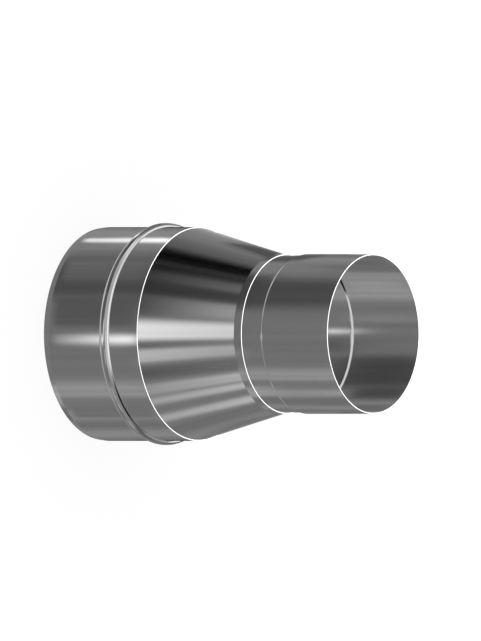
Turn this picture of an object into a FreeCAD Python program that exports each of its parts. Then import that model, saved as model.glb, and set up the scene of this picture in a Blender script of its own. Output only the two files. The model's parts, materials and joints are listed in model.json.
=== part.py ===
import FreeCAD, Part
import math
import os
import Sketcher

# Chimney adapter: three formed stainless sheets, lapped into each other on one upright axis.
# The origin is the centre of the large rim, and the adapter stands on that rim with +Z up.
# Each sheet's section is drawn beside the axis, as radius and height, and turned once round it.

# Driving sizes in millimetres
SIZES = {
    "sheet_thickness": 1.0,
    "lap_gap": 0.3,
    "spigot_diameter": 203.6,
    "lip_height": 6.3,
    "lip_drawn_in": 0.7,
    "bead_middle": 70.2,
    "bead_height": 3.9,
    "bead_crest_radius": 3.0,
    "bead_flank_lean": 45,  # degrees off the upright
    "collar_height": 109.0,
    "skirt_lap": 24.0,
    "cone_rise": 94.8,
    "flange_height": 8.6,
    "neck_lap": 8.0,
    "neck_height": 21.3,
    "joggle_height": 3.5,
    "socket_bore": 150.2,
    "socket_depth": 75.5,
}

# Sizes that follow from the driving ones: outside radii, then heights
SHEET = "sizes.sheet_thickness"
SPIGOT_OUTSIDE = "sizes.spigot_diameter / 2"
LIP_OUTSIDE = f"{SPIGOT_OUTSIDE} - sizes.lip_drawn_in"
CREST_CENTRE = f"{SPIGOT_OUTSIDE} + sizes.bead_height - sizes.bead_crest_radius"
SKIRT_OUTSIDE = f"{SPIGOT_OUTSIDE} - {SHEET} - sizes.lap_gap"
SOCKET_OUTSIDE = f"sizes.socket_bore / 2 + {SHEET}"
NECK_OUTSIDE = "sizes.socket_bore / 2 - sizes.lap_gap"
FLANGE_OUTSIDE = f"{NECK_OUTSIDE} + sizes.lap_gap + {SHEET}"
FLANK_LEAN = "sizes.bead_flank_lean * 1 deg"
CREST_SPAN = f"sizes.bead_crest_radius * sin({FLANK_LEAN})"
FLANK_RISE = f"(sizes.bead_height - sizes.bead_crest_radius * (1 - cos({FLANK_LEAN}))) / tan({FLANK_LEAN})"
BEAD_FOOT = f"sizes.bead_middle - {CREST_SPAN} - {FLANK_RISE}"
BEAD_HEAD = f"sizes.bead_middle + {CREST_SPAN} + {FLANK_RISE}"
CONE_TOP = "sizes.skirt_lap + sizes.cone_rise"
CONE_SHEET_TOP = f"{CONE_TOP} + sizes.flange_height"
NECK_TOP = "sizes.neck_lap + sizes.neck_height"
SOCKET_BASE = f"{NECK_TOP} + sizes.joggle_height"
SOCKET_SHEET_TOP = f"{SOCKET_BASE} + sizes.socket_depth"

# Where each upper sheet starts above the large rim
CONE_SHEET_BASE = "sizes.collar_height - sizes.skirt_lap"
SOCKET_SHEET_BASE = f"{CONE_SHEET_BASE} + {CONE_SHEET_TOP} - sizes.neck_lap"

# Ends of a sketched line or arc, and the sketch's own origin
START = 1
END = 2
CENTRE = 3
ORIGIN = (-1, START)
BASE_LINE = -1


def fill_sheet_of_sizes(doc):
    sheet = doc.addObject("Spreadsheet::Sheet", "sizes")
    for row, (name, value) in enumerate(SIZES.items(), start=1):
        sheet.set(f"A{row}", name)
        sheet.set(f"B{row}", str(value))
        sheet.setAlias(f"B{row}", name)
    doc.recompute()


def value_of(doc, formula):
    return float(doc.sizes.evalExpression(formula))


class Fold:
    """A sharp fold in the sheet, or the end of it, placed on the outer face."""

    def __init__(self, name, radius, height):
        self.name = name
        self.radius = radius
        self.height = height

    def settle(self, doc):
        self.place = FreeCAD.Vector(value_of(doc, self.radius), value_of(doc, self.height), 0)

    def arrive(self, inset):
        return self.place - FreeCAD.Vector(inset, 0, 0)

    leave = arrive


class Crest:
    """A rounded crest, placed by its centre: the wall turns from leaning out to leaning in."""

    def __init__(self, name, radius, height, outer_bend, lean):
        self.name = name
        self.radius = radius
        self.height = height
        self.outer_bend = outer_bend
        self.lean = lean

    def settle(self, doc):
        self.place = FreeCAD.Vector(value_of(doc, self.radius), value_of(doc, self.height), 0)
        self.reach = value_of(doc, self.outer_bend)

    def point(self, inset, angle):
        reach = self.reach - inset
        return self.place + FreeCAD.Vector(reach * math.cos(angle), reach * math.sin(angle), 0)

    def arrive(self, inset):
        return self.point(inset, -self.lean)

    def leave(self, inset):
        return self.point(inset, self.lean)

    def arcs(self, inset):
        """The lower and upper arc, which meet where the crest is widest."""
        circle = Part.Circle(self.place, FreeCAD.Vector(0, 0, 1), self.reach - inset)
        return Part.ArcOfCircle(circle, -self.lean, 0), Part.ArcOfCircle(circle, 0, self.lean)


class Section:
    """A sheet's section: an outer and an inner face one sheet apart, and a cut edge at each end."""

    def __init__(self, body, name):
        self.body = body
        self.doc = body.Document
        self.sketch = body.newObject("Sketcher::SketchObject", name)
        planes = [item for item in body.Origin.OriginFeatures if item.Role == "XZ_Plane"]
        self.sketch.AttachmentSupport = [(planes[0], "")]
        self.sketch.MapMode = "FlatFace"

    def constrain(self, kind, *where):
        return self.sketch.addConstraint(Sketcher.Constraint(kind, *where))

    def bind(self, name, kind, where, formula):
        """Adds a dimension that the sheet of sizes drives."""
        index = self.constrain(kind, *where, value_of(self.doc, formula))
        self.sketch.renameConstraint(index, name)
        self.sketch.setExpression("Constraints." + name, formula)

    def bind_place(self, corner, geometry, point):
        self.bind(corner.name + "_radius", "DistanceX", (*ORIGIN, geometry, point), corner.radius)
        self.bind(corner.name + "_height", "DistanceY", (*ORIGIN, geometry, point), corner.height)

    def draw(self, corners):
        """Draws both faces upwards through the corners, of which the first and last are the ends."""
        for corner in corners:
            corner.settle(self.doc)
        outer = self._draw_face(corners, 0)
        inner = self._draw_face(corners, value_of(self.doc, SHEET))
        self._draw_cut_edge(inner[0], outer[0], START)
        self._draw_cut_edge(inner[-1], outer[-1], END)
        self.constrain("PointOnObject", outer[0], START, BASE_LINE)
        self.bind("base_radius", "DistanceX", (*ORIGIN, outer[0], START), corners[0].radius)
        for corner, line in zip(corners[1:], outer):
            if isinstance(corner, Fold):
                self.bind_place(corner, line, END)
        self._space_faces(corners, outer, inner)

    def _draw_face(self, corners, inset):
        lines = []
        for before, after in zip(corners, corners[1:]):
            line = Part.LineSegment(before.leave(inset), after.arrive(inset))
            lines.append(self.sketch.addGeometry(line, False))
        for corner, below, above in zip(corners[1:], lines, lines[1:]):
            if isinstance(corner, Crest):
                self._draw_crest(corner, inset, below, above)
            else:
                self.constrain("Coincident", below, END, above, START)
        return lines

    def _draw_crest(self, crest, inset, below, above):
        low, high = [self.sketch.addGeometry(arc, False) for arc in crest.arcs(inset)]
        self.constrain("Tangent", below, END, low, START)
        self.constrain("Tangent", high, END, above, START)
        self.constrain("Coincident", low, END, high, START)
        self.constrain("Coincident", low, CENTRE, high, CENTRE)
        self.constrain("Horizontal", low, CENTRE, low, END)
        if inset == 0:
            self.bind_place(crest, low, CENTRE)
            self.bind(crest.name + "_outside", "Radius", (low,), crest.outer_bend)
            self.crest_centre = (low, CENTRE)
        else:
            self.constrain("Coincident", low, CENTRE, *self.crest_centre)
            self.bind(crest.name + "_inside", "Radius", (low,), f"{crest.outer_bend} - {SHEET}")

    def _draw_cut_edge(self, inner, outer, point):
        edge = Part.LineSegment(self.sketch.getPoint(inner, point), self.sketch.getPoint(outer, point))
        index = self.sketch.addGeometry(edge, False)
        self.constrain("Coincident", index, START, inner, point)
        self.constrain("Coincident", index, END, outer, point)
        self.constrain("Horizontal", index)

    def _space_faces(self, corners, outer_lines, inner_lines):
        """Keeps the faces a sheet apart; beside a crest, its two radii do that already."""
        for before, after, outer, inner in zip(corners, corners[1:], outer_lines, inner_lines):
            self.constrain("Parallel", outer, inner)
            if isinstance(before, Fold) and isinstance(after, Fold):
                self.bind(after.name + "_sheet", "Distance", (inner, START, outer), SHEET)

    def turn(self, name):
        turned = self.body.newObject("PartDesign::Revolution", name)
        turned.Profile = self.sketch
        turned.ReferenceAxis = (self.sketch, ["V_Axis"])
        turned.Angle = 360
        self.sketch.Visibility = False


def add_body(doc, name):
    body = doc.addObject("PartDesign::Body", name)
    body.Label = name
    body.Placement = FreeCAD.Placement()
    return body


def raise_body(body, base_formula):
    height = value_of(body.Document, base_formula)
    body.Placement = FreeCAD.Placement(FreeCAD.Vector(0, 0, height), FreeCAD.Rotation())
    body.setExpression("Placement.Base.z", base_formula)


def make_spigot_collar(doc):
    """Large sheet: drawn-in lip, male spigot, rolled stop bead, and the collar that laps the cone."""
    body = add_body(doc, "spigot_collar")
    section = Section(body, "spigot_section")
    lean = math.radians(SIZES["bead_flank_lean"])
    section.draw([
        Fold("rim", LIP_OUTSIDE, "0"),
        Fold("lip_top", SPIGOT_OUTSIDE, "sizes.lip_height"),
        Fold("bead_foot", SPIGOT_OUTSIDE, BEAD_FOOT),
        Crest("bead_crest", CREST_CENTRE, "sizes.bead_middle", "sizes.bead_crest_radius", lean),
        Fold("bead_head", SPIGOT_OUTSIDE, BEAD_HEAD),
        Fold("collar_edge", SPIGOT_OUTSIDE, "sizes.collar_height"),
    ])
    section.turn("rolled_collar")
    return body


def make_reducing_cone(doc):
    """Middle sheet: skirt inside the collar, cone, and the short flange that laps the neck."""
    body = add_body(doc, "reducing_cone")
    raise_body(body, CONE_SHEET_BASE)
    section = Section(body, "cone_section")
    section.draw([
        Fold("skirt_edge", SKIRT_OUTSIDE, "0"),
        Fold("cone_foot", SKIRT_OUTSIDE, "sizes.skirt_lap"),
        Fold("cone_head", FLANGE_OUTSIDE, CONE_TOP),
        Fold("flange_edge", FLANGE_OUTSIDE, CONE_SHEET_TOP),
    ])
    section.turn("turned_cone")
    return body


def make_socket_collar(doc):
    """Small sheet: neck inside the flange, a joggle outward, and the socket that takes the next pipe."""
    body = add_body(doc, "socket_collar")
    raise_body(body, SOCKET_SHEET_BASE)
    section = Section(body, "socket_section")
    section.draw([
        Fold("neck_edge", NECK_OUTSIDE, "0"),
        Fold("neck_top", NECK_OUTSIDE, NECK_TOP),
        Fold("socket_base", SOCKET_OUTSIDE, SOCKET_BASE),
        Fold("socket_rim", SOCKET_OUTSIDE, SOCKET_SHEET_TOP),
    ])
    section.turn("expanded_socket")
    return body


def check(doc, bodies):
    for item in doc.Objects:
        if "Invalid" in item.State or "Error" in item.State:
            raise RuntimeError(f"{item.Name} failed: {item.State}")
        if item.TypeId == "Sketcher::SketchObject" and not item.FullyConstrained:
            raise RuntimeError(f"{item.Name} isn't fully constrained")
    for body in bodies:
        if body.Shape.isNull() or not body.Shape.isValid() or len(body.Shape.Solids) != 1:
            raise RuntimeError(f"{body.Label} isn't one valid solid")


def main():
    doc = FreeCAD.newDocument("chimney_adapter")
    fill_sheet_of_sizes(doc)
    bodies = [make_spigot_collar(doc), make_reducing_cone(doc), make_socket_collar(doc)]
    doc.recompute()
    check(doc, bodies)
    os.makedirs("parts", exist_ok=True)
    for body in bodies:
        body.Shape.exportStep(f"parts/{body.Label}.step")
        box = body.Shape.BoundBox
        print(f"{body.Label}: {body.Shape.Volume:.0f} mm3, z {box.ZMin:.2f} to {box.ZMax:.2f} mm")


main()
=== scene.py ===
import bpy, json, math
from mathutils import Matrix, Vector


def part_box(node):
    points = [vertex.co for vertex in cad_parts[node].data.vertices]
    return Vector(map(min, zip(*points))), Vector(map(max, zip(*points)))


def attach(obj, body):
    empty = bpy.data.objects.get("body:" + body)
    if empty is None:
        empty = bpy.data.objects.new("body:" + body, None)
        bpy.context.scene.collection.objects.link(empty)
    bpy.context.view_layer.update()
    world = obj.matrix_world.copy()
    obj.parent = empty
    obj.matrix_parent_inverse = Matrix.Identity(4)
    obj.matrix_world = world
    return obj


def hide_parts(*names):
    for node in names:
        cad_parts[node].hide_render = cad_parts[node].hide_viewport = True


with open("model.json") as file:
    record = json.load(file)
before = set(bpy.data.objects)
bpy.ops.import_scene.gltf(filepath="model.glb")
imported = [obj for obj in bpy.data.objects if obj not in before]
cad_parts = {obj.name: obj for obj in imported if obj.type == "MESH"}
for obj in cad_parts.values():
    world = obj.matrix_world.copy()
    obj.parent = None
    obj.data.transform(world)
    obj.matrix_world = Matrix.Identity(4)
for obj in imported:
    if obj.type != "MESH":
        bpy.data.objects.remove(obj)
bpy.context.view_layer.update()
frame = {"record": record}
print("frame loaded")

mm = 0.001
mounts = {mount["name"]: mount for mount in frame["record"]["mounts"]}


# sRGB hex to Blender's linear colour
def linearColour(hexCode):
    parts = [int(hexCode[i:i + 2], 16) / 255 for i in (1, 3, 5)]
    return [c / 12.92 if c <= 0.04045 else ((c + 0.055) / 1.055) ** 2.4 for c in parts] + [1.0]


# Adds one node; settings are properties or socket values, links are {input: output socket}
def addNode(tree, kind, settings=None, links=None):
    node = tree.nodes.new(kind)
    for key, value in (settings or {}).items():
        if isinstance(key, str) and hasattr(node, key):
            setattr(node, key, value)
        else:
            node.inputs[key].default_value = value
    for key, source in (links or {}).items():
        tree.links.new(source, node.inputs[key])
    return node


def newMaterial(name):
    material = bpy.data.materials.new(name)
    material.use_nodes = True
    return material, material.node_tree


# Camera: parallel view from the front and above, rolled so that the flue's axis lies level
cameraView = {
    "elevation": math.degrees(math.asin(1 / math.sqrt(3))),
    "mmPerPixel": 0.952,
    "frameHeight": 641,     # pixels
    "frameWidth": 481,
    "rimColumn": 105.1,     # pixel column of the large rim's centre
    "axisRow": 334.0,       # pixel row of the flue's axis
    "distance": 3.0,
}
viewTilt = math.radians(cameraView["elevation"])
towardsCamera = Vector((0, -math.cos(viewTilt), math.sin(viewTilt)))


def addCamera():
    right = Vector((0, math.sin(viewTilt), math.cos(viewTilt)))
    up = towardsCamera.cross(right)
    pixel = cameraView["mmPerPixel"] * mm
    columns = cameraView["frameWidth"] / 2 - cameraView["rimColumn"]
    rows = cameraView["frameHeight"] / 2 - cameraView["axisRow"]
    centre = Vector((rows * pixel, 0, columns * pixel / math.cos(viewTilt)))
    data = bpy.data.cameras.new("camera")
    data.type = "ORTHO"
    data.ortho_scale = cameraView["frameHeight"] * pixel
    data.clip_end = 20
    camera = bpy.data.objects.new("camera", data)
    turn = Matrix((right, up, towardsCamera)).transposed().to_4x4()
    camera.matrix_world = Matrix.Translation(centre + towardsCamera * cameraView["distance"]) @ turn
    bpy.context.scene.collection.objects.link(camera)
    bpy.context.scene.camera = camera


addCamera()
print("camera placed")

# Sizes that the three sheets share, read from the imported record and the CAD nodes
lowSpigot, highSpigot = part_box("spigot_collar")
lowCone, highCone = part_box("reducing_cone")
lowSocket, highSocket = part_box("socket_collar")
spigotMount = mounts["spigot"]
spigotLow = spigotMount["pos_m"][2] - spigotMount["dims"]["length_mm"] * mm / 2
spigotHigh = spigotMount["pos_m"][2] + spigotMount["dims"]["length_mm"] * mm / 2
sheet = highSocket.x - mounts["socket"]["dims"]["r_mm"] * mm
lapGap = 0.3 * mm           # between two sheets, filled by the weld
tightestFold = 0.3 * mm     # bend radius that is left inside a sharp fold


# The line at a distance beside a line of (radius, height) points, with its corners mitred
def lineBeside(points, distance):
    moved = []
    for i, point in enumerate(points):
        here = Vector(point)
        before = (here - Vector(points[i - 1])).normalized() if i > 0 else None
        after = (Vector(points[i + 1]) - here).normalized() if i < len(points) - 1 else None
        before = before or after
        after = after or before
        sides = [Vector((d.y, -d.x)) for d in (before, after)]
        middle = (sides[0] + sides[1]).normalized()
        moved.append(here + middle * (distance / middle.dot(sides[0])))
    return moved


# How a corner turns: +1 away from the outside, -1 towards it
def turnSign(points, i):
    before = Vector(points[i]) - Vector(points[i - 1])
    after = Vector(points[i + 1]) - Vector(points[i])
    return math.copysign(1, before.x * after.y - before.y * after.x)


# A sheet's closed section: its outside line upwards, then its inside line down again.
# outline holds (radius, height, fold) of the outside, where fold is the bend radius outside.
def sectionMesh(name, outline, edgeFold, pathRadius):
    outer = [point[:2] for point in outline]
    inner = lineBeside(outer, -sheet)
    outerFolds = [point[2] for point in outline]
    innerFolds = [0.0] * len(outline)
    for i in range(1, len(outline) - 1):
        innerFolds[i] = max(outerFolds[i] - turnSign(outer, i) * sheet, tightestFold)
    for folds in (outerFolds, innerFolds):
        folds[0] = edgeFold
        folds[-1] = edgeFold
    loop = list(zip(outer, outerFolds)) + list(zip(inner[::-1], innerFolds[::-1]))
    mesh = bpy.data.meshes.new(name)
    count = len(loop)
    mesh.from_pydata([(p[0] - pathRadius, -p[1], 0) for p, fold in loop],
                     [(i, (i + 1) % count) for i in range(count)], [])
    folds = mesh.attributes.new("fold", "FLOAT", "POINT")
    folds.data.foreach_set("value", [fold for p, fold in loop])
    ends = (0, len(outline) - 1, len(outline), count - 1)
    cut = mesh.attributes.new("cutEdge", "FLOAT", "POINT")
    cut.data.foreach_set("value", [1.0 if i in ends else 0.0 for i in range(count)])
    return mesh


# Geometry Nodes tree: a closed section is folded at its corners and turned round the flue's axis
turning = {
    "segments": 224,
    "foldSteps": 9,
    "pathRadius": 0.09,      # radius of the circle that the sections are carried round
}


def turnedSheetTree():
    tree = bpy.data.node_groups.new("turnedSheet", "GeometryNodeTree")
    face = tree.interface
    face.new_socket("Section", in_out="INPUT", socket_type="NodeSocketGeometry")
    for name, kind in (("Path Radius", "NodeSocketFloat"), ("Segments", "NodeSocketInt"),
                       ("Fold Steps", "NodeSocketInt"), ("Sheet", "NodeSocketMaterial"),
                       ("Cut Edge And Highlight", "NodeSocketMaterial")):
        face.new_socket(name, in_out="INPUT", socket_type=kind)
    face.new_socket("Mesh", in_out="OUTPUT", socket_type="NodeSocketGeometry")
    given = addNode(tree, "NodeGroupInput")
    section = addNode(tree, "GeometryNodeMeshToCurve", links={"Mesh": given.outputs["Section"]})
    radius = addNode(tree, "GeometryNodeInputNamedAttribute", {"data_type": "FLOAT", "Name": "fold"})
    folded = addNode(tree, "GeometryNodeFilletCurve", {"mode": "POLY", "Limit Radius": True},
                     {"Curve": section.outputs["Curve"], "Radius": radius.outputs["Attribute"],
                      "Count": given.outputs["Fold Steps"]})
    circle = addNode(tree, "GeometryNodeCurvePrimitiveCircle", links={
        "Resolution": given.outputs["Segments"], "Radius": given.outputs["Path Radius"]})
    path = addNode(tree, "GeometryNodeSetCurveNormal", {"mode": "Z_UP"}, {"Curve": circle.outputs["Curve"]})
    turned = addNode(tree, "GeometryNodeCurveToMesh", links={
        "Curve": path.outputs["Curve"], "Profile Curve": folded.outputs["Curve"]})
    # Edges that run round the axis stay sharp, so that a fold doesn't shade the long wall beside it
    ends = addNode(tree, "GeometryNodeInputMeshEdgeVertices")
    rise = addNode(tree, "ShaderNodeVectorMath", {"operation": "SUBTRACT"},
                   {0: ends.outputs["Position 1"], 1: ends.outputs["Position 2"]})
    parts = addNode(tree, "ShaderNodeSeparateXYZ", links={0: rise.outputs["Vector"]})
    level = addNode(tree, "FunctionNodeCompare", {"data_type": "FLOAT", "operation": "EQUAL"},
                    {"A": parts.outputs["Z"]})
    level.inputs["Epsilon"].default_value = 1e-7
    smooth = addNode(tree, "GeometryNodeSetShadeSmooth", {"domain": "FACE"},
                     {"Geometry": turned.outputs["Mesh"]})
    creased = addNode(tree, "GeometryNodeSetShadeSmooth", {"domain": "EDGE", "Shade Smooth": False},
                      {"Geometry": smooth.outputs["Geometry"], "Selection": level.outputs["Result"]})
    whole = addNode(tree, "GeometryNodeRealizeInstances", links={"Geometry": creased.outputs["Geometry"]})
    rolled = addNode(tree, "GeometryNodeSetMaterial",
                     links={"Geometry": whole.outputs["Geometry"], "Material": given.outputs["Sheet"]})
    # Faces of the sheared edges take the cut edge material, whose brighter colour paints a highlight on them
    cut = addNode(tree, "GeometryNodeInputNamedAttribute", {"data_type": "FLOAT", "Name": "cutEdge"})
    sheared = addNode(tree, "FunctionNodeCompare", {"data_type": "FLOAT", "operation": "GREATER_THAN"},
                      {"A": cut.outputs["Attribute"]})
    sheared.inputs["B"].default_value = 0.999
    edged = addNode(tree, "GeometryNodeSetMaterial", links={
        "Geometry": rolled.outputs["Geometry"], "Selection": sheared.outputs["Result"],
        "Material": given.outputs["Cut Edge And Highlight"]})
    addNode(tree, "NodeGroupOutput", links={"Mesh": edged.outputs["Geometry"]})
    return tree


# Bright annealed stainless sheet: mid grey and nearly a mirror, softened by fine lines of grain.
# The grain runs from rim to rim, so each reflection is drawn into long soft streaks along the flue.
rolledSteel = {
    "light": "#a0a0a0",
    "dark": "#989898",
    "roughness": 0.16,
    "roughnessSpread": 0.05,
    "grainMm": 1.3,         # real grain is some 0.05 mm wide, drawn this coarse to show
    "grainLength": 90,      # times its width
    "grainDepth": 0.006 * mm,
    "toneScale": 9.0,       # broad differences of tone, some 110 mm across
}


# Butt weld along each rolled sheet: a flat dull ripple that the rolled face's streaks stop at.
# It faces sideways, where neither the front nor the bore's far wall shows it.
weldSeam = {
    "azimuth": 88,          # degrees from the front
    "width": 2.2 * mm,
    "rise": 0.12 * mm,
    "rippleMm": 1.1,
    "shade": "#8c8c8c",
    "roughness": 0.42,
}


# 1 on the seam and 0 beside it, with one soft edge on each side
def seamMask(tree, place):
    a = math.radians(weldSeam["azimuth"])
    outward, sideways = (math.sin(a), -math.cos(a), 0), (math.cos(a), math.sin(a), 0)
    across = addNode(tree, "ShaderNodeVectorMath", {"operation": "DOT_PRODUCT", 1: sideways},
                     {0: place.outputs["Object"]})
    ahead = addNode(tree, "ShaderNodeVectorMath", {"operation": "DOT_PRODUCT", 1: outward},
                    {0: place.outputs["Object"]})
    away = addNode(tree, "ShaderNodeMath", {"operation": "ABSOLUTE"}, {0: across.outputs["Value"]})
    half = weldSeam["width"] / 2
    band = addNode(tree, "ShaderNodeMapRange", {
        "interpolation_type": "SMOOTHSTEP", "From Min": 0.6 * half, "From Max": half,
        "To Min": 1, "To Max": 0}, {"Value": away.outputs[0]})
    facing = addNode(tree, "ShaderNodeMath", {"operation": "GREATER_THAN", 1: 0.0},
                     {0: ahead.outputs["Value"]})
    return addNode(tree, "ShaderNodeMath", {"operation": "MULTIPLY"},
                   {0: band.outputs["Result"], 1: facing.outputs[0]}).outputs[0]


def rolledSteelMaterial():
    material, tree = newMaterial("brightAnnealedStainless")
    shader = tree.nodes["Principled BSDF"]
    place = addNode(tree, "ShaderNodeTexCoord")
    # Direction from the axis, so that the grain narrows with the cone and has no seam
    level = addNode(tree, "ShaderNodeVectorMath", {"operation": "MULTIPLY", 1: (1, 1, 0)},
                    {0: place.outputs["Object"]})
    outward = addNode(tree, "ShaderNodeVectorMath", {"operation": "NORMALIZE"}, {0: level.outputs[0]})
    height = addNode(tree, "ShaderNodeVectorMath", {"operation": "MULTIPLY", 1: (0, 0, 1)},
                     {0: place.outputs["Object"]})
    width = rolledSteel["grainMm"] * mm
    across = addNode(tree, "ShaderNodeVectorMath", {"operation": "SCALE", "Scale": spigot["outside"] / width},
                     {0: outward.outputs[0]})
    along = addNode(tree, "ShaderNodeVectorMath", {
        "operation": "SCALE", "Scale": 1 / (width * rolledSteel["grainLength"])}, {0: height.outputs[0]})
    where = addNode(tree, "ShaderNodeVectorMath", {"operation": "ADD"},
                    {0: across.outputs[0], 1: along.outputs[0]})
    grain = addNode(tree, "ShaderNodeTexNoise", {"Scale": 1.0, "Detail": 3.0}, {"Vector": where.outputs[0]})
    cloud = addNode(tree, "ShaderNodeTexNoise", {"Scale": rolledSteel["toneScale"], "Detail": 2.0},
                    {"Vector": place.outputs["Object"]})
    tone = addNode(tree, "ShaderNodeMix", {"data_type": "RGBA"}, {"Factor": cloud.outputs["Fac"]})
    tone.inputs["A"].default_value = linearColour(rolledSteel["dark"])
    tone.inputs["B"].default_value = linearColour(rolledSteel["light"])
    gloss = addNode(tree, "ShaderNodeMapRange", {
        "To Min": rolledSteel["roughness"] - rolledSteel["roughnessSpread"],
        "To Max": rolledSteel["roughness"] + rolledSteel["roughnessSpread"]},
        {"Value": grain.outputs["Fac"]})
    relief = addNode(tree, "ShaderNodeBump", {"Strength": 0.8, "Distance": rolledSteel["grainDepth"]},
                     {"Height": grain.outputs["Fac"]})
    seam = seamMask(tree, place)
    finish = addNode(tree, "ShaderNodeMix", {"data_type": "RGBA"},
                     {"Factor": seam, "A": tone.outputs["Result"]})
    finish.inputs["B"].default_value = linearColour(weldSeam["shade"])
    dull = addNode(tree, "ShaderNodeMix", {"data_type": "FLOAT", "B": weldSeam["roughness"]},
                   {"Factor": seam, "A": gloss.outputs["Result"]})
    # The wave texture repeats 3.2 times in a unit at scale 1
    ripple = addNode(tree, "ShaderNodeTexWave", {
        "bands_direction": "Z", "Scale": 1 / (3.2 * weldSeam["rippleMm"] * mm), "Distortion": 1.5},
        {"Vector": place.outputs["Object"]})
    crown = addNode(tree, "ShaderNodeMapRange", {"To Min": 0.7, "To Max": 1.0},
                    {"Value": ripple.outputs["Fac"]})
    height = addNode(tree, "ShaderNodeMath", {"operation": "MULTIPLY"}, {0: seam, 1: crown.outputs["Result"]})
    bead = addNode(tree, "ShaderNodeBump", {"Strength": 1.0, "Distance": weldSeam["rise"]},
                   {"Height": height.outputs[0], "Normal": relief.outputs["Normal"]})
    tree.links.new(finish.outputs["Result"], shader.inputs["Base Color"])
    tree.links.new(dull.outputs["Result"], shader.inputs["Roughness"])
    tree.links.new(bead.outputs["Normal"], shader.inputs["Normal"])
    shader.inputs["Metallic"].default_value = 1
    return material


# Sheared stainless edge: the fresh metal of the cut with faint shear marks, its colour set far brighter than
# the rolled face as a painted highlight, so that each cut edge draws as a white line
shearedEdgeAndHighlight = {
    "light": "#f2f2f2",
    "dark": "#d8d8d8",
    "roughness": 0.3,
    "markMm": 0.8,
}


def shearedEdgeAndHighlightMaterial():
    material, tree = newMaterial("shearedEdgeWithPaintedHighlight")
    shader = tree.nodes["Principled BSDF"]
    place = addNode(tree, "ShaderNodeTexCoord")
    marks = addNode(tree, "ShaderNodeTexNoise", {"Scale": 1 / (shearedEdgeAndHighlight["markMm"] * mm), "Detail": 2.0},
                    {"Vector": place.outputs["Object"]})
    tone = addNode(tree, "ShaderNodeMix", {"data_type": "RGBA"}, {"Factor": marks.outputs["Fac"]})
    tone.inputs["A"].default_value = linearColour(shearedEdgeAndHighlight["dark"])
    tone.inputs["B"].default_value = linearColour(shearedEdgeAndHighlight["light"])
    tree.links.new(tone.outputs["Result"], shader.inputs["Base Color"])
    shader.inputs["Metallic"].default_value = 1
    shader.inputs["Roughness"].default_value = shearedEdgeAndHighlight["roughness"]
    return material


# One formed sheet: its section goes round the axis, becomes a plain mesh and stands for its CAD node
def addSheet(name, node, outline, edgeFold):
    section = sectionMesh(name, outline, edgeFold, turning["pathRadius"])
    piece = bpy.data.objects.new(name, section)
    bpy.context.scene.collection.objects.link(piece)
    modifier = piece.modifiers.new("turn", "NODES")
    modifier.node_group = sheetTree
    values = {
        "Path Radius": turning["pathRadius"], "Segments": turning["segments"],
        "Fold Steps": turning["foldSteps"], "Sheet": steel, "Cut Edge And Highlight": edgeSteelAndHighlight,
    }
    for item in sheetTree.interface.items_tree:
        if item.in_out == "INPUT" and item.name in values:
            modifier[item.identifier] = values[item.name]
    graph = bpy.context.evaluated_depsgraph_get()
    mesh = bpy.data.meshes.new_from_object(piece.evaluated_get(graph))
    piece.modifiers.remove(modifier)
    piece.data = mesh
    mesh.name = name
    bpy.data.meshes.remove(section)
    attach(piece, "root")
    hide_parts(node)
    print(name, "made:", len(mesh.polygons), "faces")
    return piece


# The spigot and its collar, from the large rim up
spigot = {
    "outside": spigotMount["dims"]["r_mm"] * mm,
    "lipHeight": spigotLow,
    "beadFoot": spigotHigh + 0.4 * mm,      # the bead's flank starts a little above the mount's end
    "rimMiddle": mounts["large_rim"]["pos_m"][0],
    "crest": min(highSpigot.x, -lowSpigot.x),
    "crestFold": 3.0 * mm,      # bend radius outside the bead's crest
    "crestWidth": 3.8 * mm,     # between the corners of its two flanks
    "footFold": 2.0 * mm,       # bend radius where the bead leaves the wall
    "heelRise": 1.8 * mm,       # the part of the upper flank that is steeper than 45 degrees
    "heelLean": 64,             # degrees
    "heelFold": 0.7 * mm,
    "lipFold": 9.0 * mm,
    "top": highSpigot.z,
    "edgeFold": 0.16 * mm,      # the sheared edge, broken by a file
}


def spigotOutline():
    wall = spigot["outside"]
    crest = spigot["crest"]
    rise = crest - wall
    low = spigot["beadFoot"] + rise
    high = low + spigot["crestWidth"]
    knee = high + rise - spigot["heelRise"]
    heel = knee + spigot["heelRise"] / math.tan(math.radians(spigot["heelLean"]))
    return [
        (spigot["rimMiddle"] + sheet / 2, 0.0, 0.0),
        (wall, spigot["lipHeight"], spigot["lipFold"]),
        (wall, spigot["beadFoot"], spigot["footFold"]),
        (crest, low, spigot["crestFold"]),
        (crest, high, spigot["crestFold"]),
        (wall + spigot["heelRise"], knee, spigot["heelFold"]),
        (wall, heel, spigot["heelFold"]),
        (wall, spigot["top"], 0.0),
    ]


# The cone, with its hidden skirt and its flange
cone = {
    "skirtOutside": spigot["outside"] - sheet - lapGap,
    "foot": spigot["top"],
    "skirtBase": lowCone.z,
    "top": highCone.z - 8.6 * mm,       # the flange is 8.6 mm high
    "flangeTop": highCone.z,
    "flangeOutside": highSocket.x,
    "fold": 1.6 * mm,
    "edgeFold": 0.16 * mm,
}


def coneOutline():
    return [
        (cone["skirtOutside"], cone["skirtBase"], 0.0),
        (cone["skirtOutside"], cone["foot"], cone["fold"]),
        (cone["flangeOutside"], cone["top"], cone["fold"]),
        (cone["flangeOutside"], cone["flangeTop"], 0.0),
    ]


# The neck, the step outward and the socket
socket = {
    "outside": highSocket.x,
    "neckOutside": highSocket.x - sheet - lapGap,
    "base": lowSocket.z,
    "joggleFoot": 234.5 * mm,
    "joggleRise": 2.0 * mm,     # its two folds spread it over 3.5 mm
    "rim": highSocket.z,
    "fold": 2.2 * mm,
    "edgeFold": 0.16 * mm,
}


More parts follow.
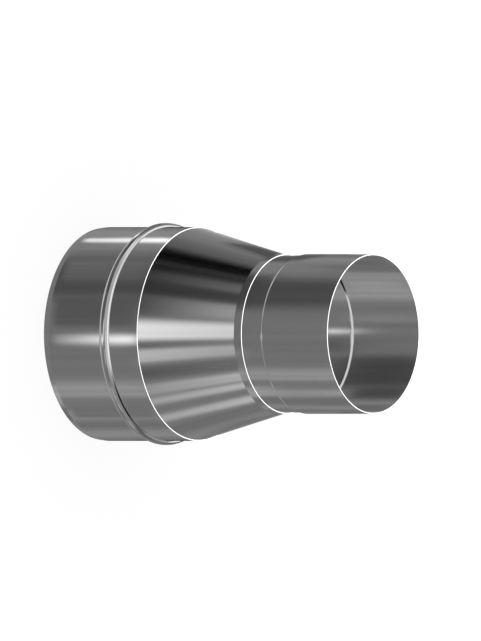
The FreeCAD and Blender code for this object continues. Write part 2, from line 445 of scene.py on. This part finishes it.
def socketOutline():
    return [
        (socket["neckOutside"], socket["base"], 0.0),
        (socket["neckOutside"], socket["joggleFoot"], socket["fold"]),
        (socket["outside"], socket["joggleFoot"] + socket["joggleRise"], socket["fold"]),
        (socket["outside"], socket["rim"], 0.0),
    ]


sheetTree = turnedSheetTree()
steel = rolledSteelMaterial()
# The cut edges' steel, brightened as a painted highlight
edgeSteelAndHighlight = shearedEdgeAndHighlightMaterial()
print("materials made")

sheets = [
    addSheet("spigotCollar", "spigot_collar", spigotOutline(), spigot["edgeFold"]),
    addSheet("reducingCone", "reducing_cone", coneOutline(), cone["edgeFold"]),
    addSheet("socketCollar", "socket_collar", socketOutline(), socket["edgeFold"]),
]
for piece in sheets:
    piece.visible_glossy = False      # each wall mirrors the cards and not its neighbour

# Studio: a white floor and a white room. Lengths are in metres.
studio = {
    "floorSize": 6.0,
    "floorWhite": 1.01,
    "floorShade": 0.12,      # share of the floor's white that comes from light, and so shows the shadow
    "tentRadius": 4.0,
    "tentLow": -90,          # degrees, from straight down
    "tentHigh": 35,          # up to the white room above
    "tentLevel": 0.47,
    "farStep": 0.03,         # each far card hangs this much nearer than the one before
    "standDistance": 1.0,    # from the cone to its standing cards
    "standStep": 0.01,
    "standBelow": 2.0,       # how far the standing cards go on past the cone, times its rise
    "standAbove": 1.6,
    "standFade": 0.04,
    "layStep": 0.5 * mm,     # between two cards on the floor
    "layAbove": 8 * mm,      # how far the spigot's cards go on past its cut edge
    "layFade": 0.06,
    "boreLift": 3 * mm,      # the bore's cards lie above the spigot's
    "pleatScale": 0.45,      # folds in a degree of azimuth
    "pleatDepth": 0.18,      # how much brighter and darker they are than the card
}


# White for the eye, for metal and for glass alike; the rest of the light sees a plain dim floor
def floorMaterial():
    material, tree = newMaterial("matteWhiteFloor")
    tree.nodes.clear()
    path = addNode(tree, "ShaderNodeLightPath")
    metal = addNode(tree, "ShaderNodeMath", {"operation": "MAXIMUM"},
                    {0: path.outputs["Is Camera Ray"], 1: path.outputs["Is Glossy Ray"]})
    seen = addNode(tree, "ShaderNodeMath", {"operation": "MAXIMUM"},
                   {0: metal.outputs[0], 1: path.outputs["Is Transmission Ray"]})
    share = studio["floorShade"]
    lift = addNode(tree, "ShaderNodeMath", {"operation": "MULTIPLY", 1: studio["floorWhite"] - share},
                   {0: seen.outputs[0]})
    glow = addNode(tree, "ShaderNodeEmission", {"Color": (1, 1, 1, 1)}, {"Strength": lift.outputs[0]})
    matte = addNode(tree, "ShaderNodeBsdfDiffuse", {"Color": (share, share, share, 1)})
    both = addNode(tree, "ShaderNodeAddShader", links={0: glow.outputs[0], 1: matte.outputs[0]})
    addNode(tree, "ShaderNodeOutputMaterial", links={"Surface": both.outputs[0]})
    return material


def addFloor():
    mesh = bpy.data.meshes.new("floor")
    size = studio["floorSize"]
    corners = [(-size, -size, 0), (size, -size, 0), (size, size, 0), (-size, size, 0)]
    mesh.from_pydata(corners, [], [(0, 1, 2, 3)])
    floor = bpy.data.objects.new("floor", mesh)
    floor.data.materials.append(floorMaterial())
    floor.visible_glossy = False      # the metal looks through it at the tent below
    bpy.context.scene.collection.objects.link(floor)


def addWorld():
    world = bpy.data.worlds.new("whiteRoom")
    bpy.context.scene.world = world
    world.use_nodes = True
    background = world.node_tree.nodes["Background"]
    background.inputs["Color"].default_value = (1, 1, 1, 1)
    background.inputs["Strength"].default_value = 1.0


# Cards glow for the metal alone: "cover" fades a card at its sides, "level" is its brightness,
# and "turn" is the azimuth on the steel where it shows, along which its cloth has fine folds
def cardMaterial():
    material, tree = newMaterial("pleatedCardCloth")
    tree.nodes.clear()
    level = addNode(tree, "ShaderNodeAttribute", {"attribute_name": "level"})
    cover = addNode(tree, "ShaderNodeAttribute", {"attribute_name": "cover"})
    turn = addNode(tree, "ShaderNodeAttribute", {"attribute_name": "turn"})
    folds = addNode(tree, "ShaderNodeTexNoise", {
        "noise_dimensions": "1D", "Scale": studio["pleatScale"], "Detail": 4.0}, {"W": turn.outputs["Fac"]})
    depth = studio["pleatDepth"]
    pleat = addNode(tree, "ShaderNodeMapRange", {
        "From Min": 0.3, "From Max": 0.7, "To Min": 1 - depth, "To Max": 1 + depth},
        {"Value": folds.outputs["Fac"]})
    strength = addNode(tree, "ShaderNodeMath", {"operation": "MULTIPLY"},
                       {0: level.outputs["Fac"], 1: pleat.outputs["Result"]})
    glow = addNode(tree, "ShaderNodeEmission", links={"Strength": strength.outputs[0]})
    clear = addNode(tree, "ShaderNodeBsdfTransparent")
    mix = addNode(tree, "ShaderNodeMixShader", links={
        "Fac": cover.outputs["Fac"], 1: clear.outputs[0], 2: glow.outputs[0]})
    addNode(tree, "ShaderNodeOutputMaterial", links={"Surface": mix.outputs[0]})
    material.cycles.emission_sampling = "NONE"
    return material


cardCloth = cardMaterial()


# Direction in which the steel sends the main view's sight line, by azimuth from the front and lean upwards
def mirrored(azimuth, lean):
    a, b = math.radians(azimuth), math.radians(lean)
    normal = Vector((math.sin(a) * math.cos(b), -math.cos(a) * math.cos(b), math.sin(b)))
    sight = -towardsCamera
    return (sight - 2 * sight.dot(normal) * normal).normalized()


def onWall(azimuth, radius, height):
    a = math.radians(azimuth)
    return Vector((math.sin(a) * radius, -math.cos(a) * radius, height))


def smoothStep(x):
    x = min(max(x, 0.0), 1.0)
    return x * x * (3 - 2 * x)


def between(pair, t):
    return pair[0] + (pair[1] - pair[0]) * t


# A grid over place(azimuth, t) for t from 0 to 1. Middle, half width and level are pairs of values,
# which run from one to the other over the stretch of t given.
def addCard(name, place, middle, half, fade, level, fadeEnds=0.0, columns=20, rows=12, stretch=(0.0, 1.0)):
    points, covers, levels, turns = [], [], [], []
    for i in range(columns + 1):
        for j in range(rows + 1):
            t = j / rows
            part = min(max((t - stretch[0]) / (stretch[1] - stretch[0]), 0.0), 1.0)
            side = 2 * i / columns - 1
            reach = between(half, part) + fade / 2
            azimuth = between(middle, part) + side * reach
            points.append(place(azimuth, t))
            edge = smoothStep((1 - abs(side)) * reach / fade) if fade else 1.0
            end = smoothStep(min(t, 1 - t) / fadeEnds) if fadeEnds else 1.0
            covers.append(edge * end)
            levels.append(between(level, part))
            turns.append(azimuth)
    row = rows + 1
    faces = [(i * row + j, (i + 1) * row + j, (i + 1) * row + j + 1, i * row + j + 1)
             for i in range(columns) for j in range(rows)]
    mesh = bpy.data.meshes.new(name)
    mesh.from_pydata(points, [], faces)
    for label, values in (("cover", covers), ("level", levels), ("turn", turns)):
        mesh.attributes.new(label, "FLOAT", "POINT").data.foreach_set("value", values)
    mesh.materials.append(cardCloth)
    thing = bpy.data.objects.new(name, mesh)
    bpy.context.scene.collection.objects.link(thing)
    thing.visible_camera = False
    thing.visible_diffuse = False
    thing.visible_shadow = False
    thing.visible_transmission = False


# A card with the same middle, half width and level from end to end
def addEvenCard(name, place, middle, half, fade, level, fadeEnds=0.0, columns=20, rows=12):
    addCard(name, place, (middle, middle), (half, half), fade, (level, level), fadeEnds, columns, rows)


def cardName(row, name):
    return row + name[0].upper() + name[1:]


# The grey tent round the part: a belt of a sphere, open to the white room above
def addTent():
    def place(azimuth, t):
        a = math.radians(azimuth)
        e = math.radians(between((studio["tentLow"], studio["tentHigh"]), t))
        aim = Vector((math.sin(a) * math.cos(e), -math.cos(a) * math.cos(e), math.sin(e)))
        return aim * studio["tentRadius"]

    addEvenCard("tent", place, 0, 180, 0, studio["tentLevel"], columns=48, rows=26)


# Far cards, one row for each lean of the steel. Each card is where it shows on the steel, in degrees:
# (middle azimuth, half width, fade, brightness)
farCards = {
    "below": {"lean": (-75, -10), "fadeEnds": 0.06, "cards": {
        "farLeft": (-81, 14, 10, 0.30),
        "left": (-37, 33, 8, 0.9),
        "front": (0, 12, 8, 0.80),
        "right": (52, 38, 10, 0.58),
    }},
    "lip": {"lean": (-11, -3.5), "fadeEnds": 0.2, "cards": {
        "grey": (0, 88, 4, 0.50),
        "light": (34.5, 6.5, 4, 1.0),
        "shade": (49, 5, 4, 0.34),
        "leftEdge": (-81, 10, 8, 0.25),
        "rightEdge": (81, 10, 8, 0.27),
    }},
    "wall": {"lean": (-4.5, 7.5), "fadeEnds": 0.1, "cards": {
        "farLeft": (-66, 16, 8, 0.52),
        "leftFlag": (-31.5, 12.5, 11, 0.19),
        "front": (2, 18, 8, 0.45),
        "rightLight": (31, 5, 4, 0.80),
        "rightSlip": (49, 4, 3, 0.72),
        "rightFlag": (58, 4, 3, 0.40),
        "farRight": (69, 5, 4, 0.52),
    }},
    "edge": {"lean": (-7, 13), "fadeEnds": 0.15, "cards": {
        "left": (-85, 10, 8, 0.30),
        "right": (85, 10, 8, 0.29),
        "leftRim": (-89, 5.5, 3, 0.06),
        "rightRim": (89, 5.5, 3, 0.06),
    }},
    "arch": {"lean": (19, 40), "fadeEnds": 0.1, "cards": {
        "left": (-26, 22, 8, 1.05),
        "farLeft": (-65, 18, 8, 0.08),
        "right": (38, 15, 6, 0.70),
    }},
    "flank": {"lean": (38, 54), "fadeEnds": 0.1, "cards": {
        "left": (-33, 40, 6, 1.05),
        "farLeft": (-53, 9, 10, 1.8),
        "leftEdge": (-74, 13, 8, 0.5),
        "front": (8, 10, 6, 1.4),
        "right": (40, 17, 6, 0.64),
        "farRight": (65, 9, 6, 0.30),
    }},
    "heel": {"lean": (51, 80), "fadeEnds": 0.1, "cards": {
        "left": (-34, 52, 6, 2.5),
        "right": (36, 15, 5, 0.0),
        "farRight": (58, 8, 8, 0.24),
        "rightEdge": (77, 11, 8, 0.8),
    }},
    "crest": {"lean": (6.5, 18), "fadeEnds": 0.15, "cards": {
        "left": (-36, 29, 8, 0.02),
    }},
}


def addFarCards():
    order = 0
    for row, band in farCards.items():
        for name, (middle, half, fade, level) in band["cards"].items():
            order += 1
            radius = studio["tentRadius"] - studio["farStep"] * order

            def place(azimuth, t):
                return mirrored(azimuth, between(band["lean"], t)) * radius

            addEvenCard(cardName(row, name), place, middle, half, fade, level, band["fadeEnds"])


# Standing cards that the cone shows. Each value runs from the cone's foot to its top:
# (middle azimuth, half width, fade, brightness)
standingCards = {
    "ground": ((0, 0), (70, 70), 6, (0.43, 0.40)),
    "leftDusk": ((-61, -61), (5, 5), 6, (0.30, 0.33)),
    "leftShade": ((-39, -39), (18, 18), 5, (0.07, 0.12)),
    "blackFlag": ((-49.5, -49.5), (4.5, 4.5), 3.5, (0.0, 0.0)),
    "darkSlip": ((-40, -41), (2, 2), 3, (0.0, 0.07)),
    "leftSlip": ((-33.5, -34), (2.5, 3.5), 3, (0.07, 0.42)),
    "leftLight": ((-15.5, -15.5), (5.5, 5), 4, (0.0, 1.1)),
    "front": ((-2, -2), (5, 5.5), 4, (2.5, 1.8)),
    "frontRight": ((12, 11), (3.5, 4.5), 3, (1.55, 1.1)),
    "frontSlip": ((6.3, 6), (2, 1.5), 3, (0.1, 0.42)),
    "rightShade": ((22, 22), (3.5, 3), 4, (0.22, 0.42)),
    "rightLight": ((32, 32), (3, 3.5), 4, (0.88, 1.4)),
    "rightSecond": ((40, 40), (2, 2.5), 3, (1.1, 1.6)),
    "rightFlag": ((46.5, 46.5), (2, 2), 3, (0.42, 0.45)),
    "rightThird": ((53, 54), (2.5, 4), 4, (1.15, 1.4)),
    "farRight": ((67, 67), (5, 5), 5, (0.38, 0.42)),
}


def addStandingCards():
    run = cone["top"] - cone["foot"]
    slope = math.degrees(math.atan2(cone["skirtOutside"] - cone["flangeOutside"], run))
    below, above = studio["standBelow"] * run, studio["standAbove"] * run
    whole = below + run + above
    for order, (name, (middle, half, fade, level)) in enumerate(standingCards.items()):
        distance = studio["standDistance"] - studio["standStep"] * order

        def place(azimuth, t):
            height = cone["foot"] - below + whole * t
            radius = between((cone["skirtOutside"], cone["flangeOutside"]), (height - cone["foot"]) / run)
            return onWall(azimuth, radius, height) + mirrored(azimuth, slope) * distance

        addCard(cardName("cone", name), place, middle, half, fade, level, studio["standFade"],
                rows=36, stretch=(below / whole, (below + run) / whole))


# The bright panel behind and above, which the cut edges of the sheets show
keyPanel = {
    "reach": 34,        # degrees to each side
    "distance": 3.2,
    "level": 2.2,
    "fade": 0.3,        # share of its width
    "fadeEnds": 0.2,
}


def addKeyPanel():
    direction = mirrored(0, 90)
    side = Vector((1, 0, 0))
    up = side.cross(direction)
    reach = math.tan(math.radians(keyPanel["reach"]))

    def place(azimuth, t):
        aim = direction + side * reach * azimuth + up * reach * (2 * t - 1)
        return aim.normalized() * keyPanel["distance"]

    addEvenCard("keyPanel", place, 0, 1, keyPanel["fade"], keyPanel["level"], keyPanel["fadeEnds"])


# Cards on the floor in front of the spigot, near enough for its wall alone.
# Each value runs up that wall: (middle azimuth, half width, fade, brightness)
floorCards = {
    "flag": ((-12, -12), (8, 8), 5, (0.26, 0.26)),
    "leftLift": ((-40, -40), (9, 9), 8, (0.34, 0.34)),
    "rightShade": ((47, 47), (4.5, 4.5), 4, (0.43, 0.43)),
    "frontStrip": ((3, 3), (2.4, 2.2), 4, (0.5, 3.4)),
    "leftStrip": ((-61.2, -61.2), (1.6, 2), 3, (2.4, 3.8)),
}


# Cards on the floor beyond them, which the far wall inside the small end shows, in the same form
boreCards = {
    "flag": ((-28, -28), (12, 12), 8, (0.14, 0.14)),
    "slip": ((10, 10), (3.5, 3.5), 5, (0.72, 0.72)),
    "light": ((38.5, 38.5), (4, 4), 3, (0.9, 0.9)),
    "shade": ((0, 0), (9, 9), 6, (0.40, 0.40)),
    "lowEdge": ((-71, -71), (7, 7), 6, (0.27, 0.27)),
    "highEdge": ((67, 67), (7, 7), 6, (0.30, 0.30)),
}


# Lays cards where an upright wall of this radius, below 0 for the far wall of a bore, shows the floor
def layCards(cards, label, radius, low, high, lift, fadeEnds):
    for order, (name, (middle, half, fade, level)) in enumerate(cards.items()):
        raised = lift + studio["layStep"] * (order + 1)

        def place(azimuth, t):
            start = onWall(azimuth, radius, between((low, high), t))
            away = mirrored(azimuth, 0)
            return start + away * ((raised - start.z) / away.z)

        addCard(cardName(label, name), place, middle, half, fade, level, fadeEnds)


def addFloorCards():
    layCards(floorCards, "floor", spigot["outside"], spigot["lipHeight"],
             spigot["top"] + studio["layAbove"], 0, studio["layFade"])


def addBoreCards():
    layCards(boreCards, "bore", sheet - socket["outside"], socket["joggleFoot"], socket["rim"],
             studio["boreLift"], 0.0)


# One more hangs beside the neck, because on the floor the outside of the neck would show it too
sideFlag = {
    "middle": -49,
    "half": 7,
    "fade": 8,
    "level": 0.16,
    "low": 247 * mm,        # the stretch of the bore's wall that shows it
    "high": 321 * mm,
    "away": 190 * mm,       # from that wall, measured level
    "fadeEnds": 0.12,
}


def addSideFlag():
    def place(azimuth, t):
        height = between((sideFlag["low"], sideFlag["high"]), t)
        start = onWall(azimuth, sheet - socket["outside"], height)
        return start + mirrored(azimuth, 0) * (sideFlag["away"] / math.cos(viewTilt))

    addEvenCard("sideFlag", place, sideFlag["middle"], sideFlag["half"], sideFlag["fade"],
                sideFlag["level"], sideFlag["fadeEnds"])


# Cards over the bore for the slope of the step inside it: (middle azimuth, half width, fade, brightness)
joggleCards = {
    "lean": (20, 42),
    "away": 300 * mm,
    "step": 5 * mm,
    "fadeEnds": 0.1,
    "cards": {
        "light": (-14, 44, 6, 1.8),
        "flag": (41, 11, 4, 0.0),
    },
}


def addJoggleCards():
    height = socket["joggleFoot"] + socket["joggleRise"] / 2
    for order, (name, (middle, half, fade, level)) in enumerate(joggleCards["cards"].items()):
        distance = joggleCards["away"] + joggleCards["step"] * order

        def place(azimuth, t):
            start = onWall(azimuth, sheet - socket["outside"], height)
            return start + mirrored(azimuth, between(joggleCards["lean"], t)) * distance

        addEvenCard(cardName("joggle", name), place, middle, half, fade, level, joggleCards["fadeEnds"])


addWorld()
addFloor()
addTent()
addFarCards()
addStandingCards()
addKeyPanel()
addFloorCards()
addBoreCards()
addSideFlag()
addJoggleCards()
print("studio lit")

bpy.context.scene.view_settings.view_transform = "Standard"
